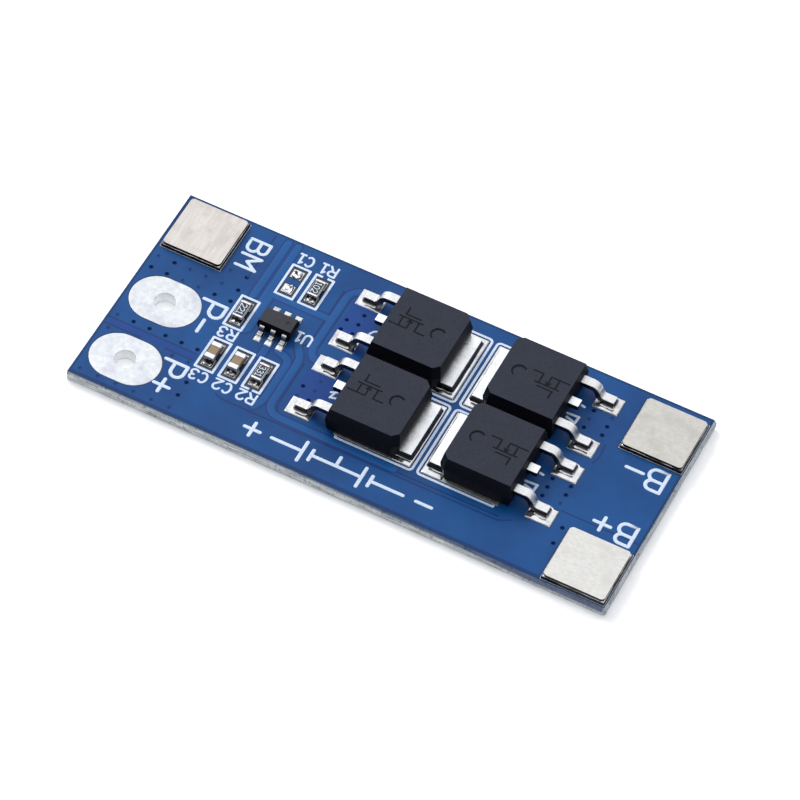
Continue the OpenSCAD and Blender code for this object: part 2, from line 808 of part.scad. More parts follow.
module u1_solder() {
    toe = chip_width / 2 + pin_reach;
    land_end = toe + pin_toe_rim - solder_inset;
    color("gainsboro")
    at_chip()
        difference() {
            for (side = [0, 180], column = [-1:1])
                rotate(side)
                    translate([column * pin_pitch, 0, 0])
                        fillet_collar(-solder_film, pin_fillet,
                            [[solder_inset - pin_land_width / 2,
                                land_end - pin_land_length + 2 * solder_inset],
                             [pin_land_width / 2 - solder_inset, land_end]],
                            [[-pin_width / 2 - solder_wrap, toe - pin_foot],
                             [pin_width / 2 + solder_wrap, toe + solder_wrap]]);
            chip_pins();
        }
}

// ---------------------------------------------------------------- resistors and capacitors

module at_small(at) translate([at.x, at.y, seat]) children();

module block(size) translate([-size.x / 2, -size.y / 2, 0]) cube(size);

module resistor_ceramic() {
    translate([0, 0, cap_wall])
        block([small_width, small_length - 2 * cap_wall, resistor_height - 2 * cap_wall]);
}

module resistor_core(at) color("white") at_small(at) resistor_ceramic();

module resistor_film(at) {
    color("black")
    at_small(at)
        translate([0, 0, resistor_height - cap_wall])
            block([small_width - 2 * film_edge, small_length - 2 * resistor_cap,
                film_thickness]);
}

module resistor_caps(at) {
    color("silver")
    at_small(at)
        difference() {
            for (side = [-1, 1])
                translate([0, side * (small_length - resistor_cap) / 2, 0])
                    block([small_width, resistor_cap, resistor_height]);
            resistor_ceramic();
        }
}

module capacitor_ceramic() {
    translate([0, 0, cap_wall])
        block([small_width - 2 * cap_wall, small_length - 2 * cap_wall,
            capacitor_height - 2 * cap_wall]);
}

module capacitor_block(at) color("tan") at_small(at) capacitor_ceramic();

module capacitor_caps(at) {
    color("silver")
    at_small(at)
        difference() {
            for (side = [-1, 1])
                translate([0, side * (small_length - capacitor_cap) / 2, 0])
                    block([small_width, capacitor_cap, capacitor_height]);
            capacitor_ceramic();
        }
}

// Solder under one end cap and its slope out to the land's edge
module small_fillet(cap, climb) {
    end = small_length / 2;
    rotate([90, 0, 90])
        linear_extrude(small_width, center = true)
            polygon([[end - cap, 0], [end, 0], [end, climb],
                [end + small_rim - solder_inset, -solder_film], [end - cap, -solder_film]]);
}

module small_part_solder() {
    color("gainsboro") {
        for (at = [R1_AT, R2_AT, R3_AT], side = [0, 180])
            at_small(at)
                rotate(side)
                    small_fillet(resistor_cap, resistor_height * resistor_climb);
        for (at = [C2_AT, C3_AT], side = [0, 180])
            at_small(at)
                rotate(side)
                    small_fillet(capacitor_cap, capacitor_height * capacitor_climb);
    }
}

// Two unused lands, each with a low mound of solder
module c1_bare_solder() {
    foot = [small_land_width, small_land_length] - 2 * [solder_inset, solder_inset];
    crown = foot - 2 * [mound_slope, mound_slope];
    color("gainsboro")
    for (side = [-1, 1])
        translate([C1_AT.x, C1_AT.y + side * small_land_y, land_top])
            hull($fn = 16) {
                slab(0, sheet)
                    rounded_rect(foot, mound_slope);
                slab(mound_height - sheet, sheet)
                    rounded_rect(crown, mound_slope / 2);
            }
}

// ---------------------------------------------------------------- assembly

laminate();
solder_mask();
legend_ink();
terminal(plus_y);  // terminal_p_plus
terminal(minus_y);  // terminal_p_minus
copper_lands();
nickel_tab(tab_plus_at);  // tab_b_plus
nickel_tab(tab_minus_at);  // tab_b_minus
nickel_tab(tab_middle_at);  // tab_b_middle
tab_solder();
q_body(0);  // q1_body
q_drain_tab(0);  // q1_drain_tab
q_gate_lead(0);  // q1_gate_lead
q_source_lead(0);  // q1_source_lead
q_die(0);  // q1_die
q_body(1);  // q2_body
q_drain_tab(1);  // q2_drain_tab
q_gate_lead(1);  // q2_gate_lead
q_source_lead(1);  // q2_source_lead
q_die(1);  // q2_die
q_body(2);  // q3_body
q_drain_tab(2);  // q3_drain_tab
q_gate_lead(2);  // q3_gate_lead
q_source_lead(2);  // q3_source_lead
q_die(2);  // q3_die
q_body(3);  // q4_body
q_drain_tab(3);  // q4_drain_tab
q_gate_lead(3);  // q4_gate_lead
q_source_lead(3);  // q4_source_lead
q_die(3);  // q4_die
transistor_solder();
u1_body();
u1_pins();
u1_die();
u1_solder();
resistor_core(R1_AT);  // r1_core
resistor_film(R1_AT);  // r1_film
resistor_caps(R1_AT);  // r1_end_caps
resistor_core(R2_AT);  // r2_core
resistor_film(R2_AT);  // r2_film
resistor_caps(R2_AT);  // r2_end_caps
resistor_core(R3_AT);  // r3_core
resistor_film(R3_AT);  // r3_film
resistor_caps(R3_AT);  // r3_end_caps
capacitor_block(C2_AT);  // c2_block
capacitor_caps(C2_AT);  // c2_end_caps
capacitor_block(C3_AT);  // c3_block
capacitor_caps(C3_AT);  // c3_end_caps
small_part_solder();
c1_bare_solder();
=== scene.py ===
"""Dresses the battery management board: materials, solder, lettering, light and camera."""

import math

import bmesh
import bpy
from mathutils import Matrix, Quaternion, Vector, noise


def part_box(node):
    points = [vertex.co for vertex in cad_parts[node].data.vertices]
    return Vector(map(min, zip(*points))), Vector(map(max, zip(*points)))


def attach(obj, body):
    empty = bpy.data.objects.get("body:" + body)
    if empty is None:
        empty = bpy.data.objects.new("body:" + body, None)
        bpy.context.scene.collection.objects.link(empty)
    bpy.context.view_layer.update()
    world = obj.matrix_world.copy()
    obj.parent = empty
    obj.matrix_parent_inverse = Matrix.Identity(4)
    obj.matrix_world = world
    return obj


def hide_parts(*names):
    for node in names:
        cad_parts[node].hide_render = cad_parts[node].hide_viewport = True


MM = 0.001
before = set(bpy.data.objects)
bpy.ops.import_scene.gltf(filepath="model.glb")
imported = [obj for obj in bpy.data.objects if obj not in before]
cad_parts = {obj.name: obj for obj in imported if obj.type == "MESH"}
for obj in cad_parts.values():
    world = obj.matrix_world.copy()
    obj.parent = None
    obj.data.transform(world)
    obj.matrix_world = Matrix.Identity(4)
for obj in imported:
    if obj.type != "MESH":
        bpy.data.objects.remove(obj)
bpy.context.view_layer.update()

# Heights in the board's frame, in millimetres, as the CAD source has them
BOARD_TOP = 1.0
LAND_TOP = 1.02
SEAT = 1.10
# Where the scored face of the board's right edge starts
SCORE_X = 22.55


def node_box(name):
    """Lowest and highest corner of a CAD node, in millimetres."""
    low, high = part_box(name)
    return Vector(low) / MM, Vector(high) / MM


def rgb(*levels):
    """Linear colour of 8-bit sRGB levels."""
    share = [v / 255 for v in levels]
    return tuple(s / 12.92 if s <= 0.04 else ((s + 0.055) / 1.055) ** 2.4 for s in share) + (1,)


def shaded(tone, factor):
    """A colour made so many times as bright."""
    return tuple(level * factor for level in tone[:3]) + (1,)


# ---------------------------------------------------------------- materials

class Paint:
    """Node tree of one material. Its textures are laid out in board millimetres."""

    def __init__(self, name, roughness=0.5, metallic=0.0, **sockets):
        self.material = bpy.data.materials.new(name)
        self.material.use_nodes = True
        self.tree = self.material.node_tree
        self.shader = self.tree.nodes["Principled BSDF"]
        self.shader.inputs["Roughness"].default_value = roughness
        self.shader.inputs["Metallic"].default_value = metallic
        for socket, value in sockets.items():
            self.shader.inputs[socket.replace("_", " ")].default_value = value
        place = self.tree.nodes.new("ShaderNodeTexCoord").outputs["Object"]
        self.mm = self.vector("SCALE", place, scale=1 / MM)
        self.normal = None

    def put(self, socket, value):
        """Sets a socket to a number or colour, or links it to another node's output."""
        if isinstance(value, bpy.types.NodeSocket):
            self.tree.links.new(value, socket)
        else:
            socket.default_value = value

    def vector(self, operation, a, b=None, scale=None):
        """Result of a sum on vectors."""
        step = self.tree.nodes.new("ShaderNodeVectorMath")
        step.operation = operation
        self.put(step.inputs[0], a)
        if b is not None:
            self.put(step.inputs[1], b)
        if scale is not None:
            self.put(step.inputs["Scale"], scale)
        return step.outputs["Vector"]

    def math(self, operation, a, b=0.0, clamp=False):
        """Result of a sum on numbers."""
        step = self.tree.nodes.new("ShaderNodeMath")
        step.operation = operation
        step.use_clamp = clamp
        self.put(step.inputs[0], a)
        self.put(step.inputs[1], b)
        return step.outputs[0]

    def noise(self, per_mm, detail=3.0, roughness=0.55, stretch=(1, 1, 1), shift=(0, 0, 0)):
        """Noise with so many features to a millimetre, stretched along the axes."""
        place = self.vector("MULTIPLY", self.vector("ADD", self.mm, shift), stretch)
        texture = self.tree.nodes.new("ShaderNodeTexNoise")
        self.put(texture.inputs["Vector"], place)
        texture.inputs["Scale"].default_value = per_mm
        texture.inputs["Detail"].default_value = detail
        texture.inputs["Roughness"].default_value = roughness
        return texture.outputs[0]

    def band(self, value, low, high, to_low=0.0, to_high=1.0):
        """Smooth step of a value from low to high."""
        step = self.tree.nodes.new("ShaderNodeMapRange")
        step.interpolation_type = "SMOOTHSTEP"
        self.put(step.inputs["Value"], value)
        for socket, number in (("From Min", low), ("From Max", high),
                               ("To Min", to_low), ("To Max", to_high)):
            step.inputs[socket].default_value = number
        return step.outputs["Result"]

    def blend(self, share, a, b):
        """Colour that goes from a to b as the share goes from 0 to 1."""
        step = self.tree.nodes.new("ShaderNodeMix")
        step.data_type = "RGBA"
        self.put(step.inputs[0], share)
        self.put(step.inputs[6], a)
        self.put(step.inputs[7], b)
        return step.outputs[2]

    def facing(self):
        """Height part of the surface's own direction: 1 faces up and -1 faces down."""
        geometry = self.tree.nodes.new("ShaderNodeNewGeometry")
        parts = self.tree.nodes.new("ShaderNodeSeparateXYZ")
        self.put(parts.inputs[0], geometry.outputs["True Normal"])
        return parts.outputs["Z"]

    def colour(self, value):
        """Sets the surface's own colour."""
        self.put(self.shader.inputs["Base Color"], value)

    def rough(self, value):
        """Sets how matt the surface is."""
        self.put(self.shader.inputs["Roughness"], value)

    def bump(self, height, depth, strength):
        """Relief of so many millimetres, on top of the relief before it."""
        step = self.tree.nodes.new("ShaderNodeBump")
        step.inputs["Strength"].default_value = strength
        step.inputs["Distance"].default_value = depth * MM
        self.put(step.inputs["Height"], height)
        if self.normal is not None:
            self.put(step.inputs["Normal"], self.normal)
        self.normal = step.outputs["Normal"]
        self.put(self.shader.inputs["Normal"], self.normal)


# Copper under the mask, in plan: traces that stand a little proud
TRACES = [
    [(-6.3, 8.0), (-6.95, 7.75), (-7.4, 7.1), (-7.45, 1.1), (-7.05, 0.35), (-6.7, 0.2)],
    [(-8.6, 0.9), (-8.0, 0.1), (-7.75, -0.5), (-7.75, -5.1), (-7.5, -5.7), (-6.9, -6.05),
     (3.2, -6.1)],
    [(-9.6, -0.4), (-8.75, -0.65), (-8.42, -1.1), (-8.42, -5.3), (-8.8, -6.0)],
    [(-12.9, 4.3), (-7.45, 4.3)],
    [(-13.8, 9.45), (-13.8, 3.5)],
    [(-12.95, 9.45), (-12.95, 3.4)],
    [(-12.6, 4.0), (-12.6, 0.3), (-13.0, 0.1)],
    [(-10.55, -0.2), (-10.55, -1.5)],
]
# Bare lines between the copper areas
GAPS = [
    [(-22.5, -3.72), (-14.9, -3.72)],
    [(-22.5, -4.4), (-19.5, -4.4)],
    [(-17.3, -4.4), (-14.9, -4.4)],
    [(-7.0, 7.0), (-7.05, 1.3)],
    [(-7.85, 7.3), (-7.85, 1.4), (-8.2, 0.9)],
    [(-7.3, -0.6), (-7.3, -5.0), (-7.0, -5.5)],
    [(-11.9, -6.35), (-11.4, -6.6), (12.2, -6.6), (13.0, -6.1)],
    [(-6.6, -6.3), (12.0, -6.25)],
    [(16.0, -3.45), (22.4, -3.45)],
    [(16.25, 3.7), (16.35, 2.4), (16.1, 1.7)],
    [(-22.5, -9.68), (22.4, -9.68)],
    [(-15.0, 4.9), (-15.0, 9.6)],
]
# Stretches of mask over bare laminate, from corner to corner
PANELS = [((-6.75, 2.0), (-3.95, 6.9)), ((-6.75, -4.95), (-3.95, -0.45)),
          ((-22.3, -4.35), (-14.8, -3.77))]
# Plated holes that the mask has filled almost level; so are those of the front row
FILLED = [(-22, -4.75), (-16.4, -4.75), (-15.1, -4.75), (-22, -3.3), (-6.4, -3.5), (-5.4, -2.4),
          (-5.4, -1.4), (15.6, -2.9), (-19.2, 2.1), (-17.8, 2.1), (-22, 3.4), (-19.2, 3.4),
          (-17.8, 3.4), (-16.4, 3.4), (-16.4, 4.8), (14.1, 5.4), (15.6, 6.3)]
FRONT_ROW_Y = -9


def mask_tone(paint, clouds=(0, 0, 0)):
    """Blue of the mask over copper, clouded as thin lacquer is."""
    broad = paint.noise(0.16, 3, 0.6, shift=clouds)
    fine = paint.noise(2.6, 4, 0.65, shift=clouds)
    tone = paint.blend(paint.band(broad, 0.3, 0.7), rgb(7, 64, 124), rgb(13, 78, 142))
    return paint.blend(paint.math("MULTIPLY", fine, 0.35), tone, rgb(10, 60, 112))


def weave(paint):
    """Faint cloth of the glass fibre, about two threads to a millimetre."""
    height = None
    for axis in ("X", "Y"):
        wave = paint.tree.nodes.new("ShaderNodeTexWave")
        wave.bands_direction = axis
        wave.inputs["Scale"].default_value = 0.62
        wave.inputs["Distortion"].default_value = 0.6
        wave.inputs["Detail"].default_value = 1.0
        paint.put(wave.inputs["Vector"], paint.mm)
        side = wave.outputs[1]
        height = side if height is None else paint.math("MULTIPLY", height, side)
    return height


def make_mask(name, tint=None, share=0.0, gloss=0.21):
    """Blue lacquer, blended towards a tint: lighter over a trace, darker where no copper lies under it,
    and near black where it carries painted shade.
    """
    paint = Paint(name, 0.36, Specular_IOR_Level=gloss)
    tone = mask_tone(paint)
    paint.colour(paint.blend(share, tone, tint) if tint else tone)
    paint.rough(paint.band(paint.noise(1.4, 4, 0.6), 0.2, 0.8, 0.3, 0.46))
    paint.bump(paint.noise(1.1, 3, 0.5), 0.012, 0.5)
    paint.bump(weave(paint), 0.004, 0.4)
    return paint.material


def make_ink():
    """White print ink with a fine grain."""
    paint = Paint("legend_white_ink", 0.55, Specular_IOR_Level=0.35)
    grain = paint.noise(7, 4, 0.6)
    paint.colour(paint.blend(paint.band(grain, 0.35, 0.75), rgb(216, 228, 245), rgb(190, 206, 234)))
    paint.rough(paint.band(paint.noise(4), 0.3, 0.7, 0.45, 0.65))
    paint.bump(grain, 0.004, 0.6)
    return paint.material


def make_laminate():
    """Woven glass and resin: dark through the mask windows, pale and streaky on the cut
    edges, lacquered blue on the underside."""
    paint = Paint("glass_laminate", 0.7)
    up = paint.facing()
    top = paint.band(up, 0.9, 0.95)
    under = paint.band(up, -0.95, -0.9, 1, 0)
    plies = paint.noise(1.0, 4, 0.7, stretch=(0.5, 0.5, 9))
    fibres = paint.noise(3.2, 5, 0.75, stretch=(1, 1, 0.5))
    edge = paint.blend(paint.band(plies, 0.35, 0.62), rgb(150, 160, 166), rgb(236, 240, 242))
    edge = paint.blend(paint.band(fibres, 0.5, 0.7), edge, rgb(92, 108, 122))
    # Lacquer ran over the upper edge, further down towards the right, but not on the right face
    place = paint.tree.nodes.new("ShaderNodeSeparateXYZ")
    paint.put(place.inputs[0], paint.mm)
    along = place.outputs["X"]
    right = paint.band(along, SCORE_X - 0.1, SCORE_X)
    run = paint.math("ADD", place.outputs["Z"], paint.math("MULTIPLY", plies, 0.5))
    run = paint.math("ADD", run, paint.band(along, -8, 12, 0, 0.22))
    run = paint.math("ADD", run, paint.band(along, 9, 17, 0, 0.3))
    run = paint.math("SUBTRACT", run, right)
    edge = paint.blend(paint.band(run, 1.02, 1.3, 0, 0.8), edge, rgb(26, 60, 112))
    edge = paint.blend(paint.math("MULTIPLY", right, 0.5), edge, rgb(112, 122, 134))
    bare = paint.blend(paint.noise(5), rgb(20, 23, 26), rgb(40, 43, 42))
    tone = paint.blend(under, edge, mask_tone(paint, (40, 9, 0)))
    paint.colour(paint.blend(top, tone, bare))
    edge_rough = paint.band(fibres, 0.2, 0.8, 0.6, 0.9)
    flat_share = paint.math("ADD", top, under, True)
    paint.rough(paint.math("SUBTRACT", edge_rough, paint.math("MULTIPLY", flat_share, 0.35)))
    paint.bump(paint.math("ADD", plies, fibres), 0.05, 0.7)
    paint.bump(weave(paint), 0.006, 0.5)
    return paint.material


def make_metal(name, dark, light, roughness, grain, stretch=(1, 1, 1), depth=0.005,
               tarnish=None, cut=None, steep=(0.1, 0.5), steep_metal=1.0, metal=1.0):
    """Metal with fine grain or drawn streaks, uneven gloss and a little tarnish. Faces that
    stand steeply can take a tone of their own, cut, and be less of a mirror; that tone is
    painted shade for most metals and painted light for the walls of the tin."""
    paint = Paint(name, roughness, metal)
    streak = paint.noise(grain, 5, 0.65, stretch)
    cloud = paint.noise(0.7, 4, 0.6, shift=(7, 3, 1))
    tone = paint.blend(paint.band(streak, 0.3, 0.7), dark, light)
    if tarnish:
        tone = paint.blend(paint.band(cloud, 0.45, 0.75, 0, 0.8), tone, tarnish)
    # The tone cut is painted shade or painted light on the faces that stand steeply
    if cut:
        upright = paint.band(paint.math("ABSOLUTE", paint.facing()), *steep, 1, 0)
        tone = paint.blend(upright, tone, cut)
        if steep_metal < metal:
            paint.put(paint.shader.inputs["Metallic"], paint.band(upright, 0, 1, metal, steep_metal))
    paint.colour(tone)
    paint.rough(paint.band(paint.math("ADD", streak, paint.math("MULTIPLY", cloud, 0.5)),
                           0.4, 1.1, roughness - 0.07, roughness + 0.09))
    paint.bump(streak, depth, 0.7)
    return paint.material


def make_mould(name, top, side, top_rough, side_rough, grain=6.0, relief=0.014):
    """Moulded epoxy: fine-eroded matt top and smoother, darker sides."""
    paint = Paint(name, top_rough)
    share = paint.band(paint.facing(), 0.75, 0.97)
    speck = paint.noise(grain, 5, 0.7)
    broad = paint.noise(0.8, 3, 0.5)
    flat = paint.blend(paint.band(speck, 0.35, 0.75), top, shaded(top, 0.72))
    flat = paint.blend(paint.band(broad, 0.3, 0.75, 0, 0.3), flat, shaded(top, 1.35))
    paint.colour(paint.blend(share, side, flat))
    wander = paint.band(speck, 0.3, 0.7, -0.05, 0.05)
    paint.rough(paint.math("ADD", wander, paint.band(share, 0, 1, side_rough, top_rough)))
    paint.put(paint.shader.inputs["Specular IOR Level"], paint.band(share, 0, 1, 0.05, 0.3))
    paint.bump(speck, relief, 0.7)
    return paint.material


def make_ceramic(name, dark, light, roughness, gloss=0.5):
    """Fired, glazed or sawn surface with a fine grain."""
    paint = Paint(name, roughness, Specular_IOR_Level=gloss)
    grain = paint.noise(11, 4, 0.6)
    paint.colour(paint.blend(paint.band(grain, 0.3, 0.7), dark, light))
    paint.rough(paint.band(paint.noise(6), 0.3, 0.7, roughness - 0.06, roughness + 0.08))
    paint.bump(grain, 0.004, 0.5)
    return paint.material


MASK = make_mask("mask_over_copper")
MASK_TRACE = make_mask("mask_over_trace", rgb(30, 98, 166), 0.34)
MASK_FLANK = make_mask("mask_beside_trace", rgb(20, 40, 108), 0.5)
MASK_GAP = make_mask("mask_over_gap", rgb(8, 26, 82), 0.55)
MASK_PANEL = make_mask("mask_over_bare_laminate", rgb(20, 54, 136), 0.5)
MASK_RIM = make_mask("mask_at_board_edge", rgb(2, 36, 72), 0.6)
# Painted shade under and beside the small parts
MASK_SHADE = make_mask("mask_painted_shade_under_small_part", rgb(26, 28, 40), 0.85, 0.1)
# Near black and without gloss: painted shade of the empty plated hole beneath the mask
MASK_PLUG = make_mask("mask_painted_shade_in_hole", rgb(4, 12, 50), 0.9, 0.02)
MASK_SHALLOW = make_mask("mask_in_filled_hole", rgb(8, 40, 100), 0.5, 0.15)
INK = make_ink()
LAMINATE = make_laminate()
# Painted light: upright walls of the plated holes and edges of the lands are whiter and duller than the
# tin
TIN = make_metal("hot_tinned_copper", rgb(184, 187, 193), rgb(201, 204, 207), 0.42, 2.6,
                 depth=0.012, tarnish=rgb(171, 172, 184), cut=rgb(244, 246, 248), steep_metal=0.1)
# Painted shade: steep faces of the leads are dark grey
LEAD = make_metal("plated_lead", rgb(202, 202, 205), rgb(222, 222, 224), 0.3, 5.0, depth=0.002,
                  cut=rgb(74, 72, 74))
# Painted shade: steep slopes of the fillets are near black
SOLDER = make_metal("solder", rgb(206, 207, 211), rgb(228, 229, 232), 0.15, 1.6,
                    tarnish=rgb(160, 160, 166), cut=rgb(58, 58, 64), steep=(0.5, 0.9))
# Painted shade: upright ends and sides of the drain tabs are near black
DRAIN = make_metal("plated_drain_tab", rgb(222, 225, 229), rgb(246, 247, 248), 0.3, 3.0, (1, 0.5, 1),
                   0.003, rgb(206, 207, 211), rgb(50, 49, 52), metal=0.85)
# Painted shade: where this solder climbs steeply towards a tab it is near black
TAB_SOLDER = make_metal("solder_under_tab", rgb(200, 202, 206), rgb(232, 233, 236), 0.24, 2.4,
                        depth=0.02, tarnish=rgb(120, 118, 122), cut=rgb(24, 26, 34),
                        steep=(0.8, 0.985), steep_metal=0.6)
# Brown-black flux residue in patches, and painted shade on the steep faces of the fillets
SOLDER_FLUX_AND_SHADE = make_metal("solder_with_flux_and_painted_shade", rgb(58, 50, 52), rgb(228, 228, 230), 0.2, 3.4, depth=0.04,
                    tarnish=rgb(52, 40, 40), cut=rgb(54, 48, 52), steep=(0.5, 0.9))
# Painted shade: steep sides of the lumpy mounds are dark grey
MOUND = make_metal("solder_mound", rgb(214, 215, 219), rgb(238, 239, 242), 0.2, 1.6,
                   cut=rgb(104, 104, 112), steep=(0.45, 0.85))
# Painted shade for the upright sides of the nickel tabs
NICKEL_SIDE_SHADE = rgb(52, 51, 52)
NICKEL_MIDDLE = make_metal("nickel_brushed_along", rgb(181, 176, 172), rgb(193, 189, 185), 0.42, 5.0,
                           (1, 0.08, 1), 0.003, rgb(168, 160, 154), NICKEL_SIDE_SHADE)
NICKEL_MINUS = make_metal("nickel_brushed_across", rgb(180, 178, 173), rgb(192, 190, 186), 0.42, 4.8,
                          (0.5, 1, 1), 0.003, rgb(172, 169, 164), NICKEL_SIDE_SHADE)
NICKEL_PLUS = make_metal("nickel_mottled", rgb(193, 192, 189), rgb(206, 205, 203), 0.42, 4.5,
                         (0.6, 1.0, 1), 0.003, rgb(190, 187, 184), NICKEL_SIDE_SHADE)
MOULD = make_mould("transistor_epoxy", rgb(28, 34, 51), rgb(20, 21, 30), 0.6, 0.5)
CHIP = make_mould("chip_epoxy", rgb(38, 41, 50), rgb(14, 14, 17), 0.5, 0.4, 5.5, 0.03)
SILICON = make_ceramic("silicon_die", rgb(70, 74, 84), rgb(96, 100, 112), 0.25)
ALUMINA = make_ceramic("alumina", rgb(214, 214, 208), rgb(238, 238, 234), 0.6)
GLAZE = make_ceramic("resistor_glaze", rgb(14, 15, 18), rgb(28, 29, 34), 0.3)
END_METAL = make_metal("end_cap_tin", rgb(200, 200, 204), rgb(228, 228, 230), 0.36, 6.0, depth=0.008)
TAN = make_ceramic("capacitor_ceramic", rgb(130, 106, 78), rgb(152, 128, 100), 0.42)
# Etched ink, also used for the painted shadow in the ejector recesses
ETCH_AND_PAINTED_SHADE = make_ceramic("etched_mark_and_painted_shade", rgb(10, 11, 16), rgb(24, 26, 34), 0.7, 0.12)


# Bends from which an edge is rounded, and up to which it is shaded smooth
ROUNDED_BEND, SMOOTH_BEND = math.radians(28), math.radians(40)
# Distances at which points count as one, in metres for the CAD and millimetres for new meshes
WELD_METRES, WELD_MM = 1e-6, 1e-5


def dress(name, material, bevel=0.0, segments=2):
    """Gives a CAD node its material and rounds its edges by so many millimetres."""
    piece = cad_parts[name]
    if not piece.material_slots:
        piece.data.materials.append(material)
    for slot in piece.material_slots:
        slot.material = material
    if bevel:
        weld = piece.modifiers.new("weld", "WELD")
        weld.merge_threshold = WELD_METRES
        rounding = piece.modifiers.new("rounding", "BEVEL")
        rounding.width = bevel * MM
        rounding.segments = segments
        rounding.limit_method = "ANGLE"
        rounding.angle_limit = ROUNDED_BEND
        rounding.miter_outer = "MITER_ARC"
        piece.modifiers.new("shading", "WEIGHTED_NORMAL").keep_sharp = True


dress("laminate", LAMINATE)
dress("solder_mask", MASK)
dress("legend_ink", INK, 0.008)
dress("copper_lands", TIN, 0.015)
dress("terminal_p_plus", TIN, 0.03, 3)
dress("terminal_p_minus", TIN, 0.03, 3)
dress("tab_b_middle", NICKEL_MIDDLE, 0.07, 3)
dress("tab_b_minus", NICKEL_MINUS, 0.07, 3)
dress("tab_b_plus", NICKEL_PLUS, 0.07, 3)
for q in ("q1", "q2", "q3", "q4"):
    dress(q + "_body", MOULD, 0.12, 4)
    dress(q + "_drain_tab", DRAIN, 0.05, 3)
    dress(q + "_gate_lead", LEAD, 0.07, 3)
    dress(q + "_source_lead", LEAD, 0.07, 3)
    dress(q + "_die", SILICON, 0.02)
dress("u1_body", CHIP, 0.04, 3)
dress("u1_pins", LEAD, 0.025)
dress("u1_die", SILICON, 0.01)
for r in ("r1", "r2", "r3"):
    dress(r + "_core", ALUMINA, 0.02)
    dress(r + "_film", GLAZE, 0.012)
    dress(r + "_end_caps", END_METAL, 0.05, 3)
for c in ("c2", "c3"):
    dress(c + "_block", TAN, 0.03)
    dress(c + "_end_caps", END_METAL, 0.06, 3)


# ---------------------------------------------------------------- mesh helpers

def new_piece(name, shell, material, stands_for=()):
    """Turns a mesh in millimetres into a piece that rides on the board."""
    bmesh.ops.remove_doubles(shell, verts=shell.verts, dist=WELD_MM)
    bmesh.ops.recalc_face_normals(shell, faces=shell.faces)
    bmesh.ops.scale(shell, vec=(MM, MM, MM), verts=shell.verts)
    mesh = bpy.data.meshes.new(name)
    for face in shell.faces:
        face.smooth = True
    for edge in shell.edges:
        edge.smooth = not edge.is_manifold or edge.calc_face_angle() < SMOOTH_BEND
    shell.to_mesh(mesh)
    shell.free()
    mesh.materials.append(material)
    piece = bpy.data.objects.new(name, mesh)
    bpy.context.scene.collection.objects.link(piece)
    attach(piece, "root")
    if stands_for:
        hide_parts(*stands_for)


def middle_and_half(low, high):
    """Centre and half sizes in plan of a rectangle from low to high."""
    pairs = list(zip(low, high))
    return [(a + b) / 2 for a, b in pairs], [(b - a) / 2 for a, b in pairs]


def span_x(one, other, middle, width):
    """Corners (low, high) in plan of a rectangle between two ends along X."""
    return (min(one, other), middle - width / 2), (max(one, other), middle + width / 2)


def span_y(one, other, middle, width):
    """Corners (low, high) in plan of a rectangle between two ends along Y."""
    return (middle - width / 2, min(one, other)), (middle + width / 2, max(one, other))


def loop_of(centre, half, radius, per_corner=5, per_side=9):
    """Points of a rounded rectangle, always the same number and in the same order."""
    signs = [(1, 1), (-1, 1), (-1, -1), (1, -1)]
    arcs = []
    for quarter, (sx, sy) in enumerate(signs):
        middle = Vector((centre[0] + sx * (half[0] - radius), centre[1] + sy * (half[1] - radius)))
        arcs.append([
            middle + radius * Vector((math.cos(turn), math.sin(turn)))
            for turn in (math.radians(90 * (quarter + i / per_corner)) for i in range(per_corner + 1))
        ])
    points = []
    for arc, after in zip(arcs, arcs[1:] + arcs[:1]):
        points += arc
        points += [arc[-1].lerp(after[0], i / per_side) for i in range(1, per_side)]
    return points


def skin(shell, rows):
    """Closed rows of points joined by quads, closed by a face at each end."""
    made = [[shell.verts.new(point) for point in row] for row in rows]
    count = len(made[0])
    for lower, upper in zip(made, made[1:]):
        for i in range(count):
            j = (i + 1) % count
            shell.faces.new((lower[i], lower[j], upper[j], upper[i]))
    shell.faces.new(list(reversed(made[0])))
    shell.faces.new(made[-1])


def outside(point, low, high):
    """Distance in plan from a point to a rectangle, 0 inside it."""
    dx = max(low[0] - point[0], 0, point[0] - high[0])
    dy = max(low[1] - point[1], 0, point[1] - high[1])
    return math.hypot(dx, dy)


def puddle(shell, low, high, film, holds=(), climb=0.3, reach=0.4, *, corner=0.15, rim, lumps,
           loops=11, grain=1.7):
    """Solder that wets a land from low to high and climbs round what stands on it.
    holds lists the footprints (low, high) that it climbs. rim is the width of its round edge,
    and lumps the height of its ripples, grain to a millimetre. Its loops lie closer at the rim."""
    centre, half = middle_and_half(low, high)
    deepest = 0.985 * min(half)
    rows = []
    for i in range(loops + 1):
        inset = deepest * (i / loops) ** 1.5
        row = []
        for point in loop_of(centre, [h - inset for h in half], max(corner - inset, 0.004)):
            swell = math.sqrt(max(0.0, 1 - (1 - min(inset / rim, 1)) ** 2))
            rise = 0.0
            for foot_low, foot_high in holds:
                away = outside(point, foot_low, foot_high)
                rise = max(rise, climb * (1 - min(away / reach, 1)) ** 2)
            ripple = lumps * noise.noise(Vector((point.x * grain, point.y * grain, film * 9)))
            row.append((point.x, point.y, LAND_TOP + swell * (film + rise + ripple)))
        rows.append(row)
    skin(shell, rows)


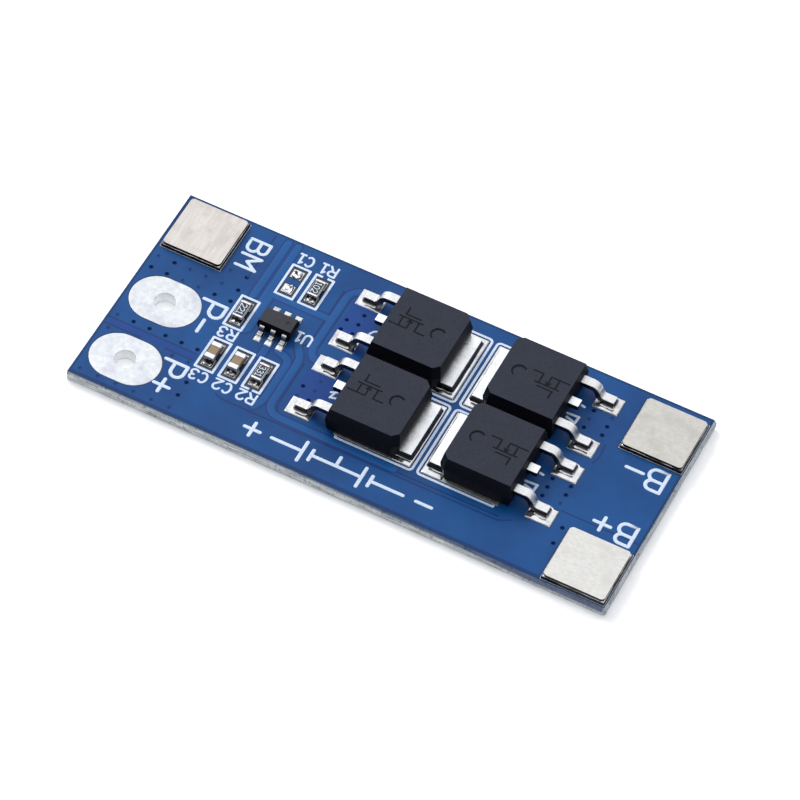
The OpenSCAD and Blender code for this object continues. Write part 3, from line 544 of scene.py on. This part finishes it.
def collar(shell, low, high, climb, reach, base, corner=0.1, steps=7):
    """Hollow fillet of solder round a foot that stands from low to high, widest at its base.
    Its last loop lies inside the foot."""
    centre, half = middle_and_half(low, high)
    rows = []
    for i in range(steps + 2):
        away = 1 - i / steps
        row = []
        for point in loop_of(centre, half, corner):
            out = Vector((point.x - centre[0], point.y - centre[1]))
            way = Vector((max(abs(out.x) - half[0] + corner, 0) * (1 if out.x > 0 else -1),
                          max(abs(out.y) - half[1] + corner, 0) * (1 if out.y > 0 else -1))).normalized()
            wander = 1 + 0.25 * noise.noise(Vector((point.x * 2.5, point.y * 2.5, 5)))
            grown = reach * away * wander
            spot = (point.x + way.x * grown, point.y + way.y * grown)
            row.append((*spot, base + climb * (1 - max(away, 0)) ** 2 * wander))
        rows.append(row)
    skin(shell, rows)


# ---------------------------------------------------------------- solder

TAB_RIM, RIM_WETTED = 0.15, 0.85
tab_solder = bmesh.new()
for tab in ("tab_b_plus", "tab_b_minus", "tab_b_middle"):
    low, high = node_box(tab)
    grown = Vector((TAB_RIM, TAB_RIM)) * RIM_WETTED
    puddle(tab_solder, low.xy - grown, high.xy + grown, SEAT - LAND_TOP, [(low, high)], 0.2, 0.15,
           corner=0.1, rim=0.04, lumps=0.05, loops=9)
new_piece("nickel_tab_solder", tab_solder, TAB_SOLDER, ["tab_solder"])

# Transistors: which way the leads point, and how far each part drifted from its lands
LEADS_TO = {"q1": -1, "q2": 1, "q3": -1, "q4": 1}
DRIFT = {"q1": (-0.06, 0.05), "q2": (0, 0.1), "q3": (0.1, 0.1), "q4": (-0.03, 0.25)}
LEAD_LAND, LEAD_WIDTH, LEAD_FOOT, TOE_RIM = (2.1, 1.65), 0.78, 0.85, 0.55
MAIN_WIDTH, DRAIN_RIM, DRAIN_WIDTH = 6.45, 0.33, 5.3
INSET = 0.03                  # bare rim of land round the solder
HEEL_REACH = 0.1              # solder along a lead behind its foot
BODY_LAP, LAND_LAP = 0.3, 0.5  # how far fillet and land solder run under a body
transistor_solder = bmesh.new()
for q, side in LEADS_TO.items():
    drift = Vector(DRIFT[q])
    for lead in ("_gate_lead", "_source_lead"):
        low, high = node_box(q + lead)
        middle_y = (low.y + high.y) / 2
        toe = low.x if side < 0 else high.x
        end = toe - drift.x + side * (TOE_RIM - INSET)
        start = toe - drift.x + side * (TOE_RIM + INSET - LEAD_LAND[0])
        land = span_x(end, start, middle_y - drift.y, LEAD_LAND[1] - 2 * INSET)
        puddle(transistor_solder, *land, 0.035, rim=0.05, lumps=0.03)
        foot = span_x(toe, toe - side * (LEAD_FOOT + HEEL_REACH), middle_y, LEAD_WIDTH)
        collar(transistor_solder, *foot, 0.2, 0.3, LAND_TOP + 0.025)
    low, high = node_box(q + "_drain_tab")
    body_low, body_high = node_box(q + "_body")
    tab_end = high.x if side < 0 else low.x
    face = body_high.x if side < 0 else body_low.x
    middle_y = (low.y + high.y) / 2
    land_end = tab_end - drift.x - side * (DRAIN_RIM - INSET)
    land = span_x(land_end, face + side * LAND_LAP, middle_y - drift.y, MAIN_WIDTH - 2 * INSET)
    puddle(transistor_solder, *land, 0.04, rim=0.06, lumps=0.03)
    foot = span_x(tab_end, face + side * BODY_LAP, middle_y, DRAIN_WIDTH)
    collar(transistor_solder, *foot, 0.3, 0.22, LAND_TOP + 0.03, corner=0.05)
new_piece("transistor_fillets", transistor_solder, SOLDER, ["transistor_solder"])

# Protection chip
PIN_PITCH, PIN_WIDTH, PIN_FOOT, PIN_LAND, PIN_TOE_RIM = 0.95, 0.4, 0.3, (0.55, 1.05), 0.45
low, high = node_box("u1_pins")
chip_middle = (low + high) / 2
chip_solder = bmesh.new()
for column in (-1, 0, 1):
    x = chip_middle.x + column * PIN_PITCH
    for side, toe in ((-1, low.y), (1, high.y)):
        end = toe + side * (PIN_TOE_RIM - INSET)
        start = toe + side * (PIN_TOE_RIM + INSET - PIN_LAND[1])
        foot = span_y(toe, toe - side * PIN_FOOT, x, PIN_WIDTH)
        land = span_y(end, start, x, PIN_LAND[0] - 2 * INSET)
        puddle(chip_solder, *land, 0.04, [foot], 0.1, 0.14,
               corner=0.1, rim=0.05, lumps=0.03, loops=8)
new_piece("chip_fillets", chip_solder, SOLDER, ["u1_solder"])

# Resistors and capacitors
SMALL_LAND, SMALL_RIM = (0.9, 0.85), 0.42
small_solder = bmesh.new()
for part, climb in (("r1", 0.26), ("r2", 0.26), ("r3", 0.26), ("c2", 0.3), ("c3", 0.3)):
    low, high = node_box(part + "_end_caps")
    x = (low.x + high.x) / 2
    for side, end in ((-1, low.y), (1, high.y)):
        outer = end + side * (SMALL_RIM - INSET)
        inner = end + side * (SMALL_RIM + INSET - SMALL_LAND[1])
        land = span_y(outer, inner, x, SMALL_LAND[0] - 2 * INSET)
        puddle(small_solder, *land, 0.06, [(low, high)], climb, 0.3,
               corner=0.14, rim=0.08, lumps=0.11, loops=12, grain=4.5)
new_piece("small_part_fillets", small_solder, SOLDER_FLUX_AND_SHADE, ["small_part_solder"])

# Lumpy mounds on the two lands that no part was soldered to
MOUND_LENGTH = 0.8
low, high = node_box("c1_bare_solder")
mounds = bmesh.new()
for start, end in ((low.y, low.y + MOUND_LENGTH), (high.y - MOUND_LENGTH, high.y)):
    puddle(mounds, (low.x, start), (high.x, end), 0.16,
           corner=0.26, rim=0.3, lumps=0.26, loops=12, grain=3.2)
new_piece("bare_land_solder", mounds, MOUND, ["c1_bare_solder"])


# ---------------------------------------------------------------- lettering

def arc(x, y, rx, ry, start, end, steps=10):
    """Points of part of an ellipse, angles in degrees."""
    turns = [math.radians(start + (end - start) * i / steps) for i in range(steps + 1)]
    return [(x + rx * math.cos(t), y + ry * math.sin(t)) for t in turns]


# Strokes of each sign in a box one high, from its lower left corner, and the sign's width
SIGNS = {
    "B": (0.7, [[(0, 0), (0, 1), *arc(0.42, 0.77, 0.23, 0.23, 90, -90), (0, 0.54)],
                [*arc(0.44, 0.27, 0.26, 0.27, 90, -90), (0, 0)]]),
    "C": (0.62, [arc(0.34, 0.5, 0.32, 0.5, 50, 310, 16)]),
    "M": (0.74, [[(0, 0), (0, 1), (0.37, 0.42), (0.74, 1), (0.74, 0)]]),
    "P": (0.68, [[(0, 0), (0, 1), *arc(0.4, 0.72, 0.28, 0.28, 90, -90), (0, 0.44)]]),
    "R": (0.66, [[(0, 0), (0, 1), *arc(0.38, 0.74, 0.26, 0.26, 90, -90), (0, 0.48)],
                 [(0.3, 0.48), (0.64, 0)]]),
    "U": (0.64, [[(0, 1), *arc(0.32, 0.32, 0.32, 0.32, 180, 360), (0.64, 1)]]),
    "0": (0.6, [arc(0.3, 0.5, 0.3, 0.5, 0, 360, 20)]),
    "1": (0.44, [[(0.02, 0.8), (0.22, 1), (0.22, 0)], [(0, 0), (0.44, 0)]]),
    "2": (0.62, [[*arc(0.3, 0.7, 0.3, 0.3, 160, -35), (0, 0), (0.62, 0)]]),
    "3": (0.6, [[*arc(0.28, 0.76, 0.26, 0.24, 150, -90), *arc(0.28, 0.27, 0.3, 0.27, 90, -150)]]),
}
# Cross-section of a printed line, in shares of its half width and of its thickness
PROFILE = [(-1, 0), (-0.86, 0.7), (-0.5, 0.96), (0, 1), (0.5, 0.96), (0.86, 0.7), (1, 0)]
ROUND_SIDES = 16              # sides of a line's round ends and joints


def stroke(shell, points, width, base, thickness):
    """Closed ribbon of ink along a line, with round ends and joints and a soft crown."""
    half = width / 2
    for a, b in zip(points, points[1:]):
        way = (b - a).normalized()
        across = Vector((-way.y, way.x)) * half
        ends = []
        for point in (a, b):
            ends.append([
                shell.verts.new((*(point + across * t), base + thickness * h)) for t, h in PROFILE
            ])
        for i in range(len(PROFILE) - 1):
            shell.faces.new((ends[0][i], ends[0][i + 1], ends[1][i + 1], ends[1][i]))
        shell.faces.new((ends[0][0], ends[1][0], ends[1][-1], ends[0][-1]))
        shell.faces.new(ends[0])
        shell.faces.new(ends[1])
    turns = [2 * math.pi * i / ROUND_SIDES for i in range(ROUND_SIDES)]
    for point in points:
        skin(shell, [
            [(point.x - t * half * math.cos(turn), point.y - t * half * math.sin(turn),
              base + thickness * h) for turn in turns]
            for t, h in PROFILE[:3]
        ])


def write(shell, text, centre, height, turn, width, base=BOARD_TOP, thickness=0.02, spread=0.26):
    """Signs in a row round a centre, turned by so many degrees in plan."""
    total = sum(SIGNS[sign][0] for sign in text) + spread * (len(text) - 1)
    cos, sin = math.cos(math.radians(turn)), math.sin(math.radians(turn))
    along = -total / 2
    for sign in text:
        advance, strokes = SIGNS[sign]
        for line in strokes:
            points = []
            for x, y in line:
                x, y = (along + x) * height, (y - 0.5) * height
                points.append(Vector((centre[0] + cos * x - sin * y, centre[1] + sin * x + cos * y)))
            stroke(shell, points, width, base, thickness)
        along += advance + spread


def draw(shell, lines, width, base=BOARD_TOP, thickness=0.02):
    """Strokes of ink along lines that are given by their points."""
    for line in lines:
        stroke(shell, [Vector(point) for point in line], width, base, thickness)


def ribbon(shell, line, width, base, thickness, turn=0.5):
    """One soft-edged band along a line, its corners rounded off and its ends tapered."""
    corners = [Vector(point) for point in line]
    path = [corners[0]]
    for before, at, after in zip(corners, corners[1:], corners[2:]):
        start = at + (before - at).normalized() * min(turn, (before - at).length / 2)
        end = at + (after - at).normalized() * min(turn, (after - at).length / 2)
        for share in (0, 0.2, 0.4, 0.6, 0.8, 1):
            path.append(start.lerp(at, share).lerp(at.lerp(end, share), share))
    path.append(corners[-1])
    ways = [(after - before).normalized() for before, after in
            zip([path[0]] + path[:-1], path[1:] + [path[-1]])]
    half = width / 2
    stations = list(zip(path, ways, [1] * len(path)))
    for lean in (30, 55, 80):
        size, out = math.cos(math.radians(lean)), half * math.sin(math.radians(lean))
        stations.insert(0, (path[0] - ways[0] * out, ways[0], size))
        stations.append((path[-1] + ways[-1] * out, ways[-1], size))
    skin(shell, [
        [(point.x - way.y * half * size * t, point.y + way.x * half * size * t,
          base + thickness * size * h) for t, h in PROFILE]
        for point, way, size in stations
    ])


# Widths of the printed lines of large and of small signs
BIG, SMALL = 0.29, 0.19
letters = bmesh.new()
write(letters, "BM", (-15.65, 7.05), 1.68, -90, 0.27)
write(letters, "P", (-15.95, 0.7), 2.0, -90, BIG)
draw(letters, [[(-15.95, -0.5), (-15.95, -1.75)]], BIG)
write(letters, "P", (-15.8, -5.85), 1.9, -90, BIG)
draw(letters, [[(-16.5, -7.65), (-15.2, -7.65)], [(-15.85, -7.0), (-15.85, -8.3)]], BIG)
write(letters, "B", (21.01, 2.57), 1.98, 180, BIG)
draw(letters, [[(18.5, 2.7), (19.9, 2.7)]], BIG)
write(letters, "B", (21.1, -3.1), 1.9, 180, BIG)
draw(letters, [[(18.5, -3.05), (19.85, -3.05)], [(19.18, -2.4), (19.18, -3.7)]], BIG)
for text, x, y in (("C1", -11.8, 8.55), ("R1", -9.8, 8.55), ("R3", -13.8, -0.8), ("C3", -13.8, -5.5),
                   ("C2", -11.75, -5.5), ("R2", -9.7, -5.5), ("U1", -8.45, 1.6)):
    write(letters, text, (x, y), 0.95, 180, SMALL)
# What shows of the signs beside the left-hand transistors, under their leads
draw(letters, [[(-4.25, 4.35), (-4.2, 4.6), (-4.0, 4.9), (-3.7, 5.05)],
               [(-4.25, -1.95), (-3.8, -1.75)], [(-4.1, -2.45), (-3.95, -1.85)],
               [(-3.95, -2.4), (-3.6, -2.3)]], SMALL)
# What shows of the signs beside the right-hand transistors, under their leads
for y in (5.1, -2.25):
    draw(letters, [[(12.3, y), (13.35, y + 0.06), (13.3, y - 0.6), (12.5, y - 0.35)],
                   [(13.05, y + 1.2), (13.3, y + 1.15)]], 0.22)

# Wiring sign of two cells in series, in the place of the board's own name
ROW_Y = -8.0
cells = []
for x in (-3.6, 1.4):
    cells += [[(x, ROW_Y - 0.95), (x, ROW_Y + 0.95)], [(x + 0.75, ROW_Y - 0.5), (x + 0.75, ROW_Y + 0.5)]]
cells += [[(-6.2, ROW_Y), (-3.6, ROW_Y)], [(-2.85, ROW_Y), (1.4, ROW_Y)], [(2.15, ROW_Y), (4.9, ROW_Y)],
          [(-0.75, ROW_Y), (-0.75, ROW_Y + 0.9)]]
cells += [[(-8.5, ROW_Y), (-7.2, ROW_Y)], [(-7.85, ROW_Y - 0.65), (-7.85, ROW_Y + 0.65)],
          [(6.0, ROW_Y), (7.3, ROW_Y)]]
draw(letters, cells, BIG)
new_piece("printed_letters", letters, INK)

# Resistance codes
codes = bmesh.new()
for part, code in (("r1", "102"), ("r2", "331"), ("r3", "221")):
    low, high = node_box(part + "_film")
    write(codes, code, ((low.x + high.x) / 2, (low.y + high.y) / 2), 0.5, -90, 0.075, high.z - 0.002,
          0.008, 0.2)
new_piece("resistor_codes", codes, INK)

# Transistor tops carry the circuit sign of a field-effect transistor, and a painted shadow in the
# ejector recess
marks = bmesh.new()
EJECTOR_AT, EJECTOR_RADIUS = (1.33, 0.08), 0.58
MARK_SIZE = 1.15
FET_SIGN = [
    [(-0.9, -0.55), (-0.9, 0.55)], [(-1.5, -0.5), (-0.9, -0.5)],
    [(-0.62, 0.35), (-0.62, 0.85)], [(-0.62, -0.25), (-0.62, 0.25)], [(-0.62, -0.85), (-0.62, -0.35)],
    [(-0.62, 0.6), (0.2, 0.6), (0.2, 1.3)], [(-0.62, -0.6), (0.2, -0.6), (0.2, -1.3)],
    [(-0.62, 0), (0.2, 0), (0.2, -0.6)], [(-0.35, 0.16), (-0.58, 0), (-0.35, -0.16)],
]
for q, side in LEADS_TO.items():
    low, high = node_box(q + "_body")
    middle = (low + high) / 2
    spot = Vector((middle.x + side * 1.1, middle.y + side * 0.35))
    placed = [[(spot.x - side * y * MARK_SIZE, spot.y + side * x * MARK_SIZE) for x, y in line]
              for line in FET_SIGN]
    draw(marks, placed, 0.16, high.z - 0.003, 0.006)
    # Dark arc on the upper-left wall of the ejector recess: painted shadow, drawn in the etched ink
    sunk = Vector((middle.x - side * EJECTOR_AT[0], middle.y - side * EJECTOR_AT[1]))
    draw(marks, [arc(*sunk, EJECTOR_RADIUS, EJECTOR_RADIUS, 55, 235, 16)], 0.13, high.z - 0.005, 0.008)
new_piece("transistor_marks_and_painted_shade", marks, ETCH_AND_PAINTED_SHADE)


# ---------------------------------------------------------------- copper relief under the mask

TRACE_WIDTH, FLANK_WIDTH, GAP_WIDTH, RIM_WIDTH = 0.6, 0.98, 0.17, 0.18
PANEL_CORNER, PANEL_SLOPE = 0.4, 0.1
SHADE_HALF, SHADE_CORNER = (0.57, 0.4), 0.03


def patch(shell, centre, half, corner, slope):
    """Thin rectangle of mask with round corners that stands just proud of the board."""
    skin(shell, [[(point.x, point.y, BOARD_TOP + height)
                  for point in loop_of(centre, [h - inset for h in half], corner)]
                 for inset, height in ((0.02, -0.01), (0, 0.001), (slope, 0.004))])


relief, flanks = bmesh.new(), bmesh.new()
for line in TRACES:
    ribbon(relief, line, TRACE_WIDTH, BOARD_TOP - 0.003, 0.012)
    ribbon(flanks, line, FLANK_WIDTH, BOARD_TOP - 0.003, 0.006)
new_piece("mask_on_traces", relief, MASK_TRACE)
new_piece("mask_beside_traces", flanks, MASK_FLANK)
panels = bmesh.new()
for low, high in PANELS:
    middle, half = middle_and_half(low, high)
    patch(panels, middle, half, min(PANEL_CORNER, min(half) - PANEL_SLOPE), PANEL_SLOPE)
new_piece("mask_on_bare_laminate", panels, MASK_PANEL)
# Painted shade on the mask under and beside each resistor and capacitor, between its lands
shades = bmesh.new()
for part in ("r1", "r2", "r3", "c2", "c3"):
    low, high = node_box(part + "_end_caps")
    patch(shades, ((low + high) / 2).xy, SHADE_HALF, SHADE_CORNER, SHADE_CORNER)
new_piece("painted_shade_between_small_lands", shades, MASK_SHADE)
gaps = bmesh.new()
for line in GAPS:
    ribbon(gaps, line, GAP_WIDTH, BOARD_TOP - 0.002, 0.005)
new_piece("mask_in_gaps", gaps, MASK_GAP)
RIM_IN = 0.1                  # mask's edge to the middle of the darker band along it
low, high = node_box("solder_mask")
left, front = low.x + RIM_IN, low.y + RIM_IN
right, back = high.x - RIM_IN, high.y - RIM_IN
rims = bmesh.new()
for line in ([(left, back), (right, back)], [(left, front), (left, back)],
             [(left, front), (right, front)], [(right, front), (right, back)]):
    ribbon(rims, line, RIM_WIDTH, BOARD_TOP - 0.002, 0.005)
new_piece("mask_on_board_edge", rims, MASK_RIM)


VIA_RADIUS, VIA_SIDES = 0.15, 16
SAME_HOLE = 0.06              # walls whose centres agree this closely belong to one hole


def holes_in(piece, sides):
    """Centres in plan of the round holes of a flat piece that have so many sides or more."""
    found = []
    for wall in piece.data.polygons:
        if abs(wall.normal.z) > 0.1:
            continue
        spot = Vector(wall.center).xy / MM + Vector(wall.normal).xy * VIA_RADIUS
        near = [hole for hole in found if (hole[0] / hole[1] - spot).length < SAME_HOLE]
        if near:
            near[0][0] += spot
            near[0][1] += 1
        else:
            found.append([spot, 1])
    return [total / count for total, count in found if count >= sides]


def dish(shell, centre, outline, sides=20):
    """Round shape turned from radii and heights, closed at both ends."""
    turns = [2 * math.pi * i / sides for i in range(sides)]
    skin(shell, [[(centre.x + radius * math.cos(turn), centre.y + radius * math.sin(turn),
                   BOARD_TOP + height) for turn in turns] for radius, height in outline])


# The mask dips into each plated hole and closes it, or stands level where a panel covers it
OPEN_PLUG = [(0.14, -0.2), (0.158, -0.03), (0.19, 0.001), (0.175, 0.003), (0.14, -0.01),
             (0.09, -0.035), (0.03, -0.05)]
LEVEL_PLUG = [(0.14, -0.2), (0.158, -0.03), (0.17, 0.004), (0.15, 0.006), (0.1, 0.005),
              (0.03, 0.004)]
plugs, filled = bmesh.new(), bmesh.new()
for centre in holes_in(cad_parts["solder_mask"], VIA_SIDES):
    level = centre.y < FRONT_ROW_Y or any((centre - Vector(hole)).length < 0.2 for hole in FILLED)
    covered = any(low[0] < centre.x < high[0] and low[1] < centre.y < high[1] for low, high in PANELS)
    dish(filled if level else plugs, centre, LEVEL_PLUG if covered else OPEN_PLUG)
# The open holes carry painted shade in their near-black mask
new_piece("via_plugs", plugs, MASK_PLUG)
new_piece("filled_via_plugs", filled, MASK_SHALLOW)


# ---------------------------------------------------------------- floor, light and camera

floor_paint = Paint("floor_white", 0.8, Specular_IOR_Level=0.1, Emission_Strength=0.16,
                    Emission_Color=rgb(244, 246, 250))
floor_grain = floor_paint.noise(0.02, 2, 0.5)
floor_paint.colour(floor_paint.blend(floor_grain, rgb(244, 244, 245), rgb(249, 249, 250)))
FLOOR_REACH, FLOOR_Z = 3.0, -2e-5
corners = [(-1, -1), (1, -1), (1, 1), (-1, 1)]
floor_mesh = bpy.data.meshes.new("floor")
floor_mesh.from_pydata([(x * FLOOR_REACH, y * FLOOR_REACH, FLOOR_Z) for x, y in corners],
                       [], [(0, 1, 2, 3)])
floor_mesh.materials.append(floor_paint.material)
floor = bpy.data.objects.new("floor", floor_mesh)
bpy.context.scene.collection.objects.link(floor)

# Bright overhead and behind the board, dark low down and in front of it
sky = bpy.data.worlds.new("studio")
bpy.context.scene.world = sky
sky.use_nodes = True
sky_tree = sky.node_tree
turned = sky_tree.nodes.new("ShaderNodeVectorMath")
turned.operation = "DOT_PRODUCT"
turned.inputs[1].default_value = Vector((-0.2, 0.5, 0.84)).normalized()
sky_tree.links.new(sky_tree.nodes.new("ShaderNodeTexCoord").outputs["Generated"], turned.inputs[0])
glow = sky_tree.nodes.new("ShaderNodeValToRGB")
glow.color_ramp.interpolation = "EASE"
for stop, (place, level) in zip(glow.color_ramp.elements, ((0.1, 0.1), (0.8, 1.0))):
    stop.position = place
    stop.color = (level * 0.98, level * 0.99, level, 1)
sky_tree.links.new(turned.outputs["Value"], glow.inputs[0])
sky_tree.links.new(glow.outputs[0], sky_tree.nodes["Background"].inputs["Color"])
sky_tree.nodes["Background"].inputs["Strength"].default_value = 1.25


LAMP_DISTANCE, LAMP_SIZE = 0.9, 0.3


def softbox(name, way, power, tint=(1, 1, 1)):
    """Square area light that faces the board from a direction."""
    lamp = bpy.data.lights.new(name, "AREA")
    lamp.size = LAMP_SIZE
    lamp.energy = power
    lamp.color = tint
    box = bpy.data.objects.new(name, lamp)
    box.location = Vector(way).normalized() * LAMP_DISTANCE
    box.rotation_euler = (-box.location).to_track_quat("-Z", "Y").to_euler()
    bpy.context.scene.collection.objects.link(box)


softbox("key", (-0.62, 0.3, 0.72), 3.0)
softbox("fill", (0.9, -0.05, 0.42), 0.55, (0.94, 0.97, 1))

lens = bpy.data.cameras.new("camera")
lens.lens = 217.6
lens.sensor_width = 36
lens.clip_start = 0.01
camera = bpy.data.objects.new("camera", lens)
stand = Vector((84.93, -207.69, 293.28)) * MM
aim = Vector((0.68, -0.04, BOARD_TOP)) * MM
ROLL = math.radians(5.7)
camera.location = stand
camera.rotation_mode = "QUATERNION"
camera.rotation_quaternion = (aim - stand).to_track_quat("-Z", "Y") @ Quaternion((0, 0, 1), ROLL)
bpy.context.scene.collection.objects.link(camera)
bpy.context.scene.camera = camera
bpy.context.scene.view_settings.view_transform = "Standard"
